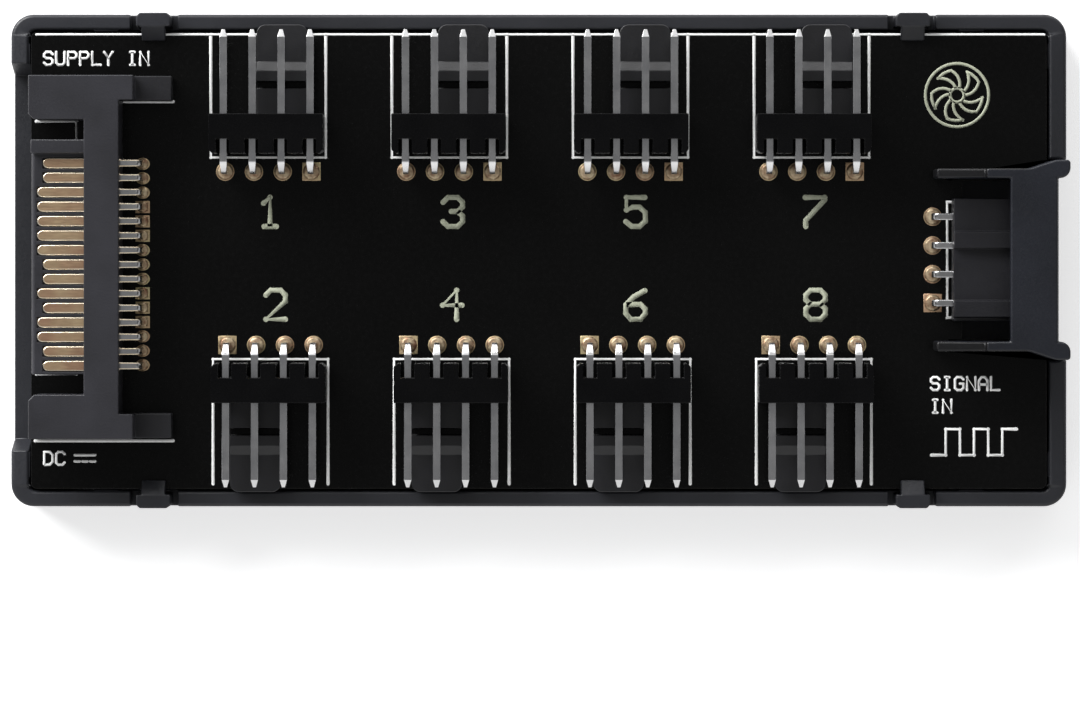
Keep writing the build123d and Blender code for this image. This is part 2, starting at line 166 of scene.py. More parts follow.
def printedInk(name, look):
    material, tree, shader, coords = startMaterial(name)
    spread = noiseOf(tree, coords, look["spreadPerMetre"])
    colour = blendOf(tree, spread, look["thin"], look["full"], low=0.3, high=0.6)
    roughness = rangeOf(tree, spread, *look["roughness"])
    paintWith(tree, shader, colour, roughness, bumpOf(tree, spread, look["spreadDepth"]))
    shader.inputs["Specular IOR Level"].default_value = look["shine"]
    return material


# depths in the looks are in millimetres

trayLook = {
    "dark": screen(33, 34, 38), "light": screen(41, 42, 47),
    "driftPerMetre": 90.0, "grainPerMetre": 5200.0,
    "roughness": (0.32, 0.46), "flowDepth": 0.02, "grainDepth": 0.012, "shine": 0.45,
}
plugLook = {
    "dark": screen(38, 38, 42), "light": screen(47, 47, 52),
    "driftPerMetre": 160.0, "grainPerMetre": 6500.0,
    "roughness": (0.3, 0.44), "flowDepth": 0.015, "grainDepth": 0.008, "shine": 0.42,
}
frameLook = {
    "dark": screen(24, 26, 32), "light": screen(31, 33, 40),
    "driftPerMetre": 140.0, "grainPerMetre": 6500.0,
    "roughness": (0.28, 0.4), "flowDepth": 0.015, "grainDepth": 0.008, "shine": 0.42,
}
# a darker copy of the plug plastic for the low lugs: painted shade
lugShadeLook = {
    "dark": screen(24, 24, 27), "light": screen(31, 31, 35),
    "driftPerMetre": 160.0, "grainPerMetre": 6500.0,
    "roughness": (0.34, 0.48), "flowDepth": 0.015, "grainDepth": 0.008, "shine": 0.4,
}
# a near-black copy of the frame plastic for the low rear ends of the arms: painted shade
armShadeLook = {
    "dark": screen(9, 9, 11), "light": screen(13, 13, 16),
    "driftPerMetre": 140.0, "grainPerMetre": 6500.0,
    "roughness": (0.34, 0.48), "flowDepth": 0.015, "grainDepth": 0.008, "shine": 0.4,
}
socketLook = {
    "dark": screen(26, 26, 29), "light": screen(33, 33, 37),
    "driftPerMetre": 220.0, "grainPerMetre": 6500.0,
    "roughness": (0.28, 0.42), "flowDepth": 0.02, "grainDepth": 0.008, "shine": 0.35,
}
waferLook = {
    "dark": screen(5, 5, 6), "light": screen(8, 8, 9),
    "driftPerMetre": 260.0, "grainPerMetre": 7000.0,
    "roughness": (0.2, 0.3), "flowDepth": 0.01, "grainDepth": 0.005, "shine": 0.14,
}
# a lighter copy of the header plastic for the lock tabs: painted light
tabLightLook = {
    "dark": screen(22, 22, 24), "light": screen(30, 30, 33),
    "driftPerMetre": 240.0, "grainPerMetre": 6000.0,
    "roughness": (0.28, 0.4), "flowDepth": 0.015, "grainDepth": 0.01, "shine": 0.5,
}
diodeLook = {
    "dark": screen(24, 24, 25), "light": screen(32, 32, 33),
    "driftPerMetre": 300.0, "grainPerMetre": 9000.0,
    "roughness": (0.6, 0.8), "flowDepth": 0.01, "grainDepth": 0.01, "shine": 0.3,
}
capacitorLook = {
    "dark": screen(118, 92, 66), "light": screen(140, 112, 82),
    "driftPerMetre": 500.0, "grainPerMetre": 9000.0,
    "roughness": (0.4, 0.55), "flowDepth": 0.005, "grainDepth": 0.004, "shine": 0.4,
}
tinLook = {
    "dark": screen(196, 197, 200), "light": screen(226, 226, 228),
    "linePerMetre": 900.0, "cloudPerMetre": 500.0, "stretch": (14.0, 0.6, 14.0),
    "roughness": (0.16, 0.24), "lineDepth": 0.001, "metallic": 1.0,
}
# a near-white tin for the pin tips and bends: painted highlight
tipHighlightLook = {
    "dark": screen(238, 238, 239), "light": screen(252, 252, 252),
    "linePerMetre": 1200.0, "cloudPerMetre": 500.0, "stretch": (1.0, 1.0, 1.0),
    "roughness": (0.24, 0.32), "lineDepth": 0.0002, "metallic": 1.0,
}
tailLook = {
    "dark": screen(200, 200, 202), "light": screen(230, 230, 231),
    "linePerMetre": 900.0, "cloudPerMetre": 500.0, "stretch": (0.6, 14.0, 14.0),
    "roughness": (0.14, 0.22), "lineDepth": 0.001, "metallic": 1.0,
}
goldLook = {
    "dark": screen(188, 148, 122), "light": screen(210, 184, 148),
    "linePerMetre": 700.0, "cloudPerMetre": 420.0, "stretch": (1.5, 9.0, 9.0),
    "roughness": (0.3, 0.42), "lineDepth": 0.006, "metallic": 0.9,
}
# a bright metal for the bevelled edges of the power contacts: painted highlight
edgeHighlightLook = {
    "dark": screen(224, 206, 178), "light": screen(244, 234, 214),
    "linePerMetre": 700.0, "cloudPerMetre": 600.0, "stretch": (1.0, 1.0, 1.0),
    "roughness": (0.22, 0.32), "lineDepth": 0.002, "metallic": 1.0,
}
landLook = {
    "dark": screen(206, 168, 138), "light": screen(220, 206, 160),
    "linePerMetre": 2600.0, "cloudPerMetre": 160.0, "stretch": (1.0, 1.0, 1.0),
    "roughness": (0.34, 0.5), "lineDepth": 0.006, "metallic": 0.8,
}
jointLook = {
    "dark": screen(150, 112, 88), "light": screen(226, 208, 174),
    "linePerMetre": 3200.0, "cloudPerMetre": 1800.0, "stretch": (1.0, 1.0, 1.0),
    "roughness": (0.3, 0.5), "lineDepth": 0.04, "metallic": 0.8,
}
solderLook = {
    "dark": screen(170, 168, 164), "light": screen(214, 212, 208),
    "linePerMetre": 2400.0, "cloudPerMetre": 900.0, "stretch": (1.0, 1.0, 1.0),
    "roughness": (0.2, 0.36), "lineDepth": 0.01, "metallic": 1.0,
}
maskLook = {
    "dark": screen(4, 4, 4), "light": screen(7, 7, 7),
    "driftPerMetre": 70.0, "peelPerMetre": 2600.0, "weavePerMetre": 1500.0, "weaveStretch": (1.0, 0.25, 1.0),
    "roughness": (0.2, 0.3), "weaveDepth": 0.006, "peelDepth": 0.004, "shine": 0.18,
}
laminateLook = {
    "resin": screen(12, 11, 9), "glass": screen(26, 23, 18),
    "pliesPerMetre": 5200.0, "pliesStretch": (0.12, 0.12, 1.0), "roughness": (0.6, 0.8), "pliesDepth": 0.02,
}
whiteLook = {
    "thin": screen(244, 245, 244), "full": screen(254, 254, 253),
    "spreadPerMetre": 3500.0, "roughness": (0.6, 0.8), "spreadDepth": 0.001, "shine": 0.2,
}
paleLook = {
    "thin": screen(158, 162, 143), "full": screen(174, 178, 158),
    "spreadPerMetre": 3500.0, "roughness": (0.45, 0.6), "spreadDepth": 0.001, "shine": 0.2,
}

trayPlastic = mouldedPlastic("trayPlastic", trayLook)
plugPlastic = mouldedPlastic("plugPlastic", plugLook)
lugShadePlastic = mouldedPlastic("lugShadePlastic", lugShadeLook)
framePlastic = mouldedPlastic("framePlastic", frameLook)
armShadePlastic = mouldedPlastic("armShadePlastic", armShadeLook)
socketPlastic = mouldedPlastic("socketPlastic", socketLook)
waferPlastic = mouldedPlastic("waferPlastic", waferLook)
tabLightPlastic = mouldedPlastic("tabLightPlastic", tabLightLook)
diodeBody = mouldedPlastic("diodeBody", diodeLook)
capacitorBody = mouldedPlastic("capacitorBody", capacitorLook)
tinPlate = platedMetal("tinPlate", tinLook)
tipHighlightTin = platedMetal("tipHighlightTin", tipHighlightLook)
tailTin = platedMetal("tailTin", tailLook)
contactGold = platedMetal("contactGold", goldLook)
edgeHighlightMetal = platedMetal("edgeHighlightMetal", edgeHighlightLook)
landGold = platedMetal("landGold", landLook)
jointTin = platedMetal("jointTin", jointLook)
solderTin = platedMetal("solderTin", solderLook)
boardMask = solderMask("boardMask", maskLook)
boardEdge = laminate("boardEdge", laminateLook)
whiteInk = printedInk("whiteInk", whiteLook)
paleInk = printedInk("paleInk", paleLook)
print("materials made:", len(bpy.data.materials))


# pieces that start from a CAD node

def link(piece):
    scene.collection.objects.link(piece)
    return piece


def settle(piece, slotName, *nodeNames):
    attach(piece, "root")
    if nodeNames:
        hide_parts(*nodeNames)


def evaluatedMesh(piece):
    return bpy.data.meshes.new_from_object(piece.evaluated_get(bpy.context.evaluated_depsgraph_get()))


dressing = {"weld": 0.002, "flatAngle": 0.5, "edgeAngle": 25, "segments": 2, "flatWeight": 100}
edges = {  # edge is the width of the soft edge in millimetres
    "base_tray": {"edge": 0.12, "segments": 3},
    "circuit_board": {"edge": 0.03, "segments": 1, "flat": True},
    "power_plug_housing": {"edge": 0.1},
    "power_plug_contacts": {"edge": 0.11, "segments": 3, "angle": 35, "highlightPaint": 2},
    "control_input_socket": {"edge": 0.1},
    "control_input_contacts": {"edge": 0.1, "segments": 3, "angle": 35},
    "control_input_frame": {"edge": 0.2, "segments": 3},
    "fan_header": {"edge": 0.07},
    "filter_capacitors": {"edge": 0.08},
    "surge_diode": {"edge": 0.12},
}


def dress(nodeName, slotName, paint, pick=None, shapeUp=None, edgeName=None):
    look = edges[edgeName or nodeName]
    shape = bmesh.new()
    shape.from_mesh(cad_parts[nodeName].data)
    bmesh.ops.remove_doubles(shape, verts=shape.verts, dist=dressing["weld"] * mm)
    flat = math.radians(dressing["flatAngle"])
    bmesh.ops.dissolve_limit(shape, angle_limit=flat, verts=shape.verts, edges=shape.edges)
    if shapeUp:
        shapeUp(shape)
    mesh = bpy.data.meshes.new(nodeName + "_raw")
    shape.to_mesh(mesh)
    shape.free()
    for material in paint:
        mesh.materials.append(material)
    for face in mesh.polygons:
        face.use_smooth = not look.get("flat", False)
        face.material_index = pick(face) if pick else 0
    piece = link(bpy.data.objects.new(nodeName + "_finish", mesh))
    bevel = piece.modifiers.new("edge", "BEVEL")
    bevel.limit_method = "ANGLE"
    bevel.angle_limit = math.radians(look.get("angle", dressing["edgeAngle"]))
    bevel.width = look["edge"] * mm
    bevel.segments = look.get("segments", dressing["segments"])
    bevel.use_clamp_overlap = False
    bevel.loop_slide = False
    # on the contacts the new edge faces take a bright copy of the metal: painted highlight
    bevel.material = look.get("highlightPaint", -1)
    weighted = piece.modifiers.new("shading", "WEIGHTED_NORMAL")  # flats stay flat beside their soft edges
    weighted.weight = dressing["flatWeight"]
    weighted.keep_sharp = True
    finished = evaluatedMesh(piece)
    piece.modifiers.clear()
    piece.data = finished
    bpy.data.meshes.remove(mesh)
    settle(piece, slotName, nodeName)


rim = {
    "flat": 0.3, "drop": 0.25, "fall": 0.16, "corner": 2.0,
    "endsPast": 40.0, "sidesWithin": 5.0, "level": 0.01,
}
paintLimits = {
    "facing": 0.5, "holeArea": 1.2, "holesWithin": 43.0,
    "goldEnd": -38.0, "lugStart": -35.45, "armEnd": 39.15,
}


def slopeRim(shape):  # the flat of the rim falls a little towards the outside
    top = max(v.co.z for v in shape.verts if abs(v.co.x) > rim["endsPast"] * mm)
    flats = [f for f in shape.faces if all(abs(v.co.z - top) < rim["level"] * mm for v in f.verts)]
    bmesh.ops.triangulate(shape, faces=flats)
    halfLength = max(v.co.x for v in shape.verts) / mm
    halfWidth = max(v.co.y for v in shape.verts if abs(v.co.x) < rim["sidesWithin"] * mm) / mm
    for v in shape.verts:
        if abs(v.co.z - top) > rim["drop"] * mm:
            continue
        fromEnd = halfLength - abs(v.co.x) / mm
        fromSide = halfWidth - abs(v.co.y) / mm
        inset = min(fromEnd, fromSide)
        if max(fromEnd, fromSide) < rim["corner"]:
            inset = rim["corner"] - math.hypot(rim["corner"] - fromEnd, rim["corner"] - fromSide)
        if inset < rim["flat"]:
            v.co.z -= rim["fall"] * mm


def splitContacts(shape):  # fingers and tails share a face, which is cut inside the plug
    bmesh.ops.bisect_plane(shape, geom=shape.verts[:] + shape.edges[:] + shape.faces[:],
                           plane_co=(paintLimits["goldEnd"] * mm, 0, 0), plane_no=(1, 0, 0))


def boardFace(face):  # mask on the flats, bare laminate on the cut edge, plating in the drilled holes
    if abs(face.normal.z) > paintLimits["facing"]:
        return 0
    small = face.area < paintLimits["holeArea"] * mm * mm
    return 2 if small and abs(face.center.x) < paintLimits["holesWithin"] * mm else 1


def contactFace(face):  # gold on the fingers, tin on the bent tails
    return 0 if face.center.x < paintLimits["goldEnd"] * mm else 1


def plugFace(face):  # the low lugs behind the body take a darker copy of the plug plastic: painted shade
    return 1 if face.center.x > paintLimits["lugStart"] * mm else 0


def frameFace(face):  # the low rear ends of the arms take a much darker copy of the frame plastic: painted shade
    return 1 if face.center.x < paintLimits["armEnd"] * mm else 0


def capacitorFace(face):  # metal ends on each chip
    return 1 if abs(face.normal.x) > paintLimits["facing"] else 0


dress("base_tray", "tray_plastic", [trayPlastic], shapeUp=slopeRim)
dress("circuit_board", "board_mask", [boardMask, boardEdge, landGold], boardFace)
dress("power_plug_housing", "plug_plastic", [plugPlastic, lugShadePlastic], plugFace)
dress("power_plug_contacts", "contact_gold", [contactGold, tailTin, edgeHighlightMetal], contactFace, splitContacts)
dress("control_input_socket", "header_plastic", [socketPlastic])
dress("control_input_contacts", "tin_plate", [tailTin])
dress("control_input_frame", "plug_plastic", [framePlastic, armShadePlastic], frameFace)
dress("filter_capacitors", "capacitor_body", [capacitorBody, solderTin], capacitorFace)
dress("surge_diode", "diode_body", [diodeBody])
print("housings dressed")


# shared parts of the node trees

def startTree(name, floats, others):
    tree = bpy.data.node_groups.new(name, "GeometryNodeTree")
    tree.interface.new_socket("Geometry", in_out="INPUT", socket_type="NodeSocketGeometry")
    for label in floats:
        tree.interface.new_socket(label, in_out="INPUT", socket_type="NodeSocketFloat")
    for label, kind in others.items():
        tree.interface.new_socket(label, in_out="INPUT", socket_type="NodeSocket" + kind)
    tree.interface.new_socket("Geometry", in_out="OUTPUT", socket_type="NodeSocketGeometry")
    return tree, addNode(tree, "NodeGroupInput").outputs


def endTree(tree, geometry, material):
    whole = addNode(tree, "GeometryNodeRealizeInstances", {"Geometry": geometry}).outputs["Geometry"]
    painted = addNode(tree, "GeometryNodeSetMaterial", {"Geometry": whole, "Material": material})
    addNode(tree, "NodeGroupOutput", {"Geometry": painted.outputs["Geometry"]})
    return tree


def curveOf(tree, mesh):
    return addNode(tree, "GeometryNodeMeshToCurve", {"Mesh": mesh}).outputs["Curve"]


def oblongOf(tree, width, height):
    inputs = {"Width": width, "Height": height}
    return addNode(tree, "GeometryNodeCurvePrimitiveQuadrilateral", inputs).outputs["Curve"]


def roundedOf(tree, curve, radius, steps):
    inputs = {"Curve": curve, "Radius": radius, "Count": steps}
    return addNode(tree, "GeometryNodeFilletCurve", inputs, mode="POLY").outputs["Curve"]


def copiesOf(tree, seed, shape, scale=None):  # one copy of the shape at each point of the seed
    points = addNode(tree, "GeometryNodeMeshToPoints", {"Mesh": seed}).outputs["Points"]
    inputs = {"Points": points, "Instance": shape}
    if scale:
        inputs["Scale"] = scale
    return addNode(tree, "GeometryNodeInstanceOnPoints", inputs).outputs["Instances"]


def vectorOf(tree, x, y, z):
    return addNode(tree, "ShaderNodeCombineXYZ", {"X": x, "Y": y, "Z": z}).outputs["Vector"]


def mathOf(tree, first, second, kind):
    return addNode(tree, "ShaderNodeMath", {0: first, 1: second}, operation=kind).outputs["Value"]


def growPiece(name, points, joins, tree, values, scales=None):
    mesh = bpy.data.meshes.new(name + "_seed")
    mesh.from_pydata([[value * mm for value in point] for point in points], joins, [])
    if scales:
        mesh.attributes.new("thinning", "FLOAT", "POINT").data.foreach_set("value", scales)
    piece = link(bpy.data.objects.new(name, mesh))
    modifier = piece.modifiers.new("grow", "NODES")
    modifier.node_group = tree
    for socket in tree.interface.items_tree:
        if socket.in_out == "INPUT" and socket.name in values:
            modifier[socket.identifier] = values[socket.name]
    grown = evaluatedMesh(piece)
    piece.modifiers.remove(modifier)
    piece.data = grown
    bpy.data.meshes.remove(mesh)
    return piece


def chain(first, count):  # edges from each of some points to the next
    return [(first + step, first + step + 1) for step in range(count - 1)]


# fan headers

headers = {
    "columns": 4, "columnPitch": 16.0, "pinCount": 4, "pinPitch": 2.54,
    "upperRow": 7.85, "lowerRow": -7.47, "upperShift": 0.1, "lowerShift": 0.3,
    "waferFront": 5.02, "grooveInner": 7.3, "grooveOuter": 7.94, "grooveTop": 1.5,
}
pins = {
    "reach": 12.45, "height": 3.3, "drop": 3.1, "size": 0.64, "edge": 0.035, "edgeSteps": 3,
    "tip": 0.65, "tipShare": 0.42, "footShare": 0.74,
    "bendRun": 0.86, "bendFall": 0.56, "bend": 0.32, "bendSteps": 5, "bendHighlightInset": 0.08, "crease": 11.5,
}


def spaced(count, pitch):  # places along a row, middle at zero
    return [(place - (count - 1) / 2) * pitch for place in range(count)]


headerPlaces = {}  # number: (x of its middle, y of its pin row, which way it faces)
for column, columnMiddle in enumerate(spaced(headers["columns"], headers["columnPitch"])):
    headerPlaces[2 * column + 1] = (columnMiddle + headers["upperShift"], headers["upperRow"], 1)
    headerPlaces[2 * column + 2] = (columnMiddle + headers["lowerShift"], headers["lowerRow"], -1)
pinOffsets = spaced(headers["pinCount"], headers["pinPitch"])


def bentPinTree():  # a square wire with soft edges, swept along its path and thinned at the tip
    tree, given = startTree("bentPin", ["Size", "Edge", "Bend"], {"Metal": "Material"})
    bent = roundedOf(tree, curveOf(tree, given["Geometry"]), given["Bend"], pins["bendSteps"])
    square = oblongOf(tree, given["Size"], given["Size"])
    section = roundedOf(tree, square, given["Edge"], pins["edgeSteps"])
    thinning = addNode(tree, "GeometryNodeInputNamedAttribute", {"Name": "thinning"}, data_type="FLOAT")
    wire = addNode(tree, "GeometryNodeCurveToMesh", {
        "Curve": bent, "Profile Curve": section, "Scale": thinning.outputs["Attribute"], "Fill Caps": True})
    return endTree(tree, wire.outputs["Mesh"], given["Metal"])


def growPins(number, tree):
    middle, row, way = headerPlaces[number]
    path = [  # out from the row, up from the board, share of the full size
        (pins["reach"], pins["height"], pins["tipShare"]),
        (pins["reach"] - pins["tip"], pins["height"], 1.0),
        (pins["bendRun"], pins["height"], 1.0),
        (0.0, pins["height"] - pins["bendFall"], pins["footShare"]),
        (0.0, -pins["drop"], pins["footShare"]),
    ]
    points, joins, scales = [], [], []
    for offset in pinOffsets:
        joins += chain(len(points), len(path))
        points += [(middle + way * offset, row + way * out, boardTop + up) for out, up, share in path]
        scales += [share for out, up, share in path]
    values = {"Size": pins["size"] * mm, "Edge": pins["edge"] * mm, "Bend": pins["bend"] * mm}
    values["Metal"] = tinPlate
    piece = growPiece(f"fan_header_{number}_pins_finish", points, joins, tree, values, scales)
    piece.data.set_sharp_from_angle(angle=math.radians(pins["crease"]))  # crisp tip, smooth bend
    piece.data.materials.append(tipHighlightTin)
    for face in piece.data.polygons:  # tip and bend take a brighter tin: painted highlight
        out = way * (face.center.y / mm - row)
        atTip = out > pins["reach"] - pins["tip"]
        face.material_index = int(atTip or out < pins["bendRun"] - pins["bendHighlightInset"])
    settle(piece, "tin_plate", f"fan_header_{number}_pins")


def headerPicker(row, way):  # one moulding painted in two tones: near-black on the wafer and as painted shade in the groove, a lighter copy on the lock tab as painted light
    def pick(face):
        out = way * (face.center.y / mm - row)
        low = face.center.z / mm < boardTop + headers["grooveTop"]
        groove = headers["grooveInner"] < out < headers["grooveOuter"] and low
        return 0 if groove or out < headers["waferFront"] else 1

    return pick


pinTree = bentPinTree()
for number, (middle, row, way) in headerPlaces.items():
    dress(f"fan_header_{number}_housing", "header_plastic", [waferPlastic, tabLightPlastic],
          headerPicker(row, way), edgeName="fan_header")
    growPins(number, pinTree)
print("fan headers made:", len(headerPlaces))


# lands and solder on the board

power = {"firstRow": 8.53, "pitch": 1.27, "count": 15, "x": -35.0, "square": (4, 5, 6, 10, 11, 12)}
control = {"middle": 0.05, "x": 34.8}
lands = {
    "height": 0.05, "edge": 0.024, "edgeSteps": 2, "squareSides": 4,
    "fanHole": 0.5, "fanRim": 0.81, "fanSides": 28,
    "powerHole": 0.36, "powerRim": 0.53, "powerSides": 24, "powerLong": 1.2,
}
solder = {  # each kind has the radius at the foot, the radius at the top and the height
    "sides": 16, "rings": 2, "rise": 0.05, "pinTop": (0.76, 0.34, 0.07), "powerTop": (0.51, 0.22, 0.06),
    "pinJoint": (0.36, 0.8, 0.9), "powerJoint": (0.3, 0.52, 0.7),
}
roundLands, squareLands, powerRound, powerSquare = [], [], [], []
for middle, row, way in headerPlaces.values():  # the first pin of each header has a square land
    pinPlaces = [(middle + way * offset, row) for offset in pinOffsets]
    roundLands += pinPlaces[:-1]
    squareLands += pinPlaces[-1:]
controlPlaces = [(control["x"], control["middle"] + offset) for offset in pinOffsets]
roundLands += controlPlaces[1:]
squareLands += controlPlaces[:1]
for contact in range(power["count"]):
    placed = powerSquare if contact + 1 in power["square"] else powerRound
    placed.append((power["x"], power["firstRow"] - contact * power["pitch"]))


def landTree():  # a flat ring or square frame of plated copper at every point
    floats = ["Middle", "Width", "Height", "Turn", "Spread", "Long"]
    tree, given = startTree("platedLand", floats, {"Sides": "Int", "Metal": "Material"})
    circle = addNode(tree, "GeometryNodeCurvePrimitiveCircle", {
        "Resolution": given["Sides"], "Radius": given["Middle"]}).outputs["Curve"]
    oblong = oblongOf(tree, given["Width"], given["Height"])
    section = roundedOf(tree, oblong, lands["edge"] * mm, lands["edgeSteps"])
    ring = addNode(tree, "GeometryNodeCurveToMesh", {"Curve": circle, "Profile Curve": section})
    turned = addNode(tree, "GeometryNodeTransform", {
        "Geometry": ring.outputs["Mesh"], "Rotation": vectorOf(tree, 0.0, 0.0, given["Turn"]),
        "Scale": vectorOf(tree, given["Spread"], given["Spread"], 1.0)})
    longer = vectorOf(tree, given["Long"], 1.0, 1.0)
    laid = copiesOf(tree, given["Geometry"], turned.outputs["Geometry"], longer)
    return endTree(tree, laid, given["Metal"])


def solderTree():  # a small cone of solder at every point
    tree, given = startTree("solderCone", ["Foot", "Top", "Height"], {"Metal": "Material"})
    cone = addNode(tree, "GeometryNodeMeshCone", {
        "Vertices": solder["sides"], "Side Segments": solder["rings"], "Radius Top": given["Top"],
        "Radius Bottom": given["Foot"], "Depth": given["Height"]})
    laid = copiesOf(tree, given["Geometry"], cone.outputs["Mesh"])
    smooth = addNode(tree, "GeometryNodeSetShadeSmooth", {"Geometry": laid})
    return endTree(tree, smooth.outputs["Geometry"], given["Metal"])


landNodes = landTree()
solderNodes = solderTree()


def layLands(name, places, hole, outside, sides, long=1.0):
    halfTurn = math.pi / sides
    values = {
        "Sides": sides, "Middle": (hole + outside) / 2 * mm, "Width": (outside - hole) * mm,
        "Height": lands["height"] * mm, "Turn": halfTurn if sides == lands["squareSides"] else 0.0,
        "Spread": 1 / math.cos(halfTurn), "Long": long, "Metal": landGold,
    }
    level = boardTop + lands["height"] / 2
    settle(growPiece(name, [(x, y, level) for x, y in places], [], landNodes, values), "contact_gold")


def laySolder(name, places, size, level, metal):
    foot, top, height = size
    values = {"Foot": foot * mm, "Top": top * mm, "Height": height * mm, "Metal": metal}
    settle(growPiece(name, [(x, y, level) for x, y in places], [], solderNodes, values), "tin_plate")


def laySolderAbove(name, places, size):
    laySolder(name, places, size, boardTop + solder["rise"], jointTin)


def laySolderBelow(name, places, size):
    laySolder(name, places, size, boardBottom - size[-1] / 2, solderTin)


layLands("pin_lands", roundLands, lands["fanHole"], lands["fanRim"], lands["fanSides"])
layLands("first_pin_lands", squareLands, lands["fanHole"], lands["fanRim"], lands["squareSides"])
layLands("power_lands", powerRound, lands["powerHole"], lands["powerRim"], lands["powerSides"],
         lands["powerLong"])
layLands("power_square_lands", powerSquare, lands["powerHole"], lands["powerRim"], lands["squareSides"],
         lands["powerLong"])
laySolderAbove("pin_solder", roundLands + squareLands, solder["pinTop"])
laySolderAbove("power_solder", powerRound + powerSquare, solder["powerTop"])
laySolderBelow("pin_joints", roundLands + squareLands, solder["pinJoint"])
laySolderBelow("power_joints", powerRound + powerSquare, solder["powerJoint"])
print("lands laid:", len(roundLands) + len(squareLands) + power["count"])


# print on the board

ink = {"height": 0.03, "dotSides": 12, "dotShare": 0.9}


def inkTree():  # every edge becomes a flat stroke with round ends
    tree, given = startTree("inkStroke", ["Stroke", "Height"], {"Ink": "Material"})
    path = curveOf(tree, given["Geometry"])
    level = addNode(tree, "GeometryNodeSetCurveNormal", {"Curve": path}, mode="Z_UP").outputs["Curve"]
    section = oblongOf(tree, given["Stroke"], given["Height"])
    strip = addNode(tree, "GeometryNodeCurveToMesh", {
        "Curve": level, "Profile Curve": section, "Fill Caps": True}).outputs["Mesh"]
    radius = mathOf(tree, given["Stroke"], 2.0, "DIVIDE")
    depth = mathOf(tree, given["Height"], ink["dotShare"], "MULTIPLY")
    dot = addNode(tree, "GeometryNodeMeshCylinder", {
        "Vertices": ink["dotSides"], "Radius": radius, "Depth": depth}).outputs["Mesh"]
    both = addNode(tree, "GeometryNodeJoinGeometry")
    tree.links.new(strip, both.inputs["Geometry"])
    tree.links.new(copiesOf(tree, given["Geometry"], dot), both.inputs["Geometry"])
    return endTree(tree, both.outputs["Geometry"], given["Ink"])


inkNodes = inkTree()


def printLines(name, lines, stroke, material):
    points, joins = [], []
    for line in lines:
        joins += chain(len(points), len(line))
        points += [(x, y, boardTop + ink["height"] / 2) for x, y in line]
    values = {"Stroke": stroke * mm, "Height": ink["height"] * mm, "Ink": material}
    settle(growPiece(name, points, joins, inkNodes, values), "board_mask")


# strokes of the figures and letters on a grid 4 wide and 6 high
glyphGrid = (4, 6)
bowlTop = [(0, 5), (1, 6), (3, 6), (4, 5), (4, 4), (3, 3.1)]
glyphs = {
    "1": [[(0.7, 4.8), (2, 6), (2, 0)], [(0.8, 0), (3.3, 0)]],
    "2": [[(0, 5), (1, 6), (3, 6), (4, 5), (4, 3.7), (0, 0), (4, 0)]],
    "3": [bowlTop + [(1.7, 3.1)], [(3, 3.1), (4, 2.2), (4, 1), (3, 0), (1, 0), (0, 1)]],
    "4": [[(2.9, 0), (2.9, 6), (0, 2.9), (4, 2.9)]],
    "5": [[(3.9, 6), (0.1, 6), (0.1, 3.4), (1.4, 4), (2.8, 4), (4, 2.9), (4, 1.1), (2.8, 0), (1.2, 0),
           (0, 1)]],
    "6": [[(3.9, 5.9), (1.6, 4.6), (0, 3), (0, 1.2), (1, 0), (3, 0), (4, 1.2), (4, 2.1), (3, 3.1), (0.1, 3)]],
    "7": [[(0, 6), (4, 6), (4, 5.5), (0.1, 1.3), (0.1, 0)]],
    "8": [[(1, 3.1), (0, 4)] + bowlTop + [(1, 3.1), (0, 2.2), (0, 1), (1, 0), (3, 0), (4, 1), (4, 2.2),
                                          (3, 3.1)]],
    "A": [[(0, 0), (0, 4.5), (1.2, 6), (2.8, 6), (4, 4.5), (4, 0)], [(0, 2.6), (4, 2.6)]],
    "C": [[(4, 5), (3, 6), (1, 6), (0, 5), (0, 1), (1, 0), (3, 0), (4, 1)]],
    "D": [[(0, 0), (0, 6), (2.6, 6), (4, 4.6), (4, 1.4), (2.6, 0), (0, 0)]],
    "G": [[(4, 5), (3, 6), (1, 6), (0, 5), (0, 1), (1, 0), (3, 0), (4, 1), (4, 3), (2.4, 3)]],
    "I": [[(1, 6), (3, 6)], [(2, 6), (2, 0)], [(1, 0), (3, 0)]],
    "L": [[(0, 6), (0, 0), (4, 0)]],
    "N": [[(0, 0), (0, 6), (4, 0), (4, 6)]],
    "P": [[(0, 0), (0, 6), (3, 6), (4, 5), (4, 4), (3, 3), (0, 3)]],
    "S": [[(4, 5), (3, 6), (1, 6), (0, 5), (0, 4), (1, 3.1), (3, 3.1), (4, 2.2), (4, 1), (3, 0), (1, 0),
           (0, 1)]],
    "U": [[(0, 6), (0, 1), (1, 0), (3, 0), (4, 1), (4, 6)]],
    "Y": [[(0, 6), (2, 3), (4, 6)], [(2, 3), (2, 0)]],
}


def writing(words, left, bottom, size):
    across, up = size["width"] / glyphGrid[0], size["height"] / glyphGrid[1]
    lines = []
    for place, letter in enumerate(words):
        start = left + place * size.get("advance", 0.0)
        for stroke in glyphs.get(letter, []):
            lines.append([(start + x * across, bottom + y * up) for x, y in stroke])
    return lines


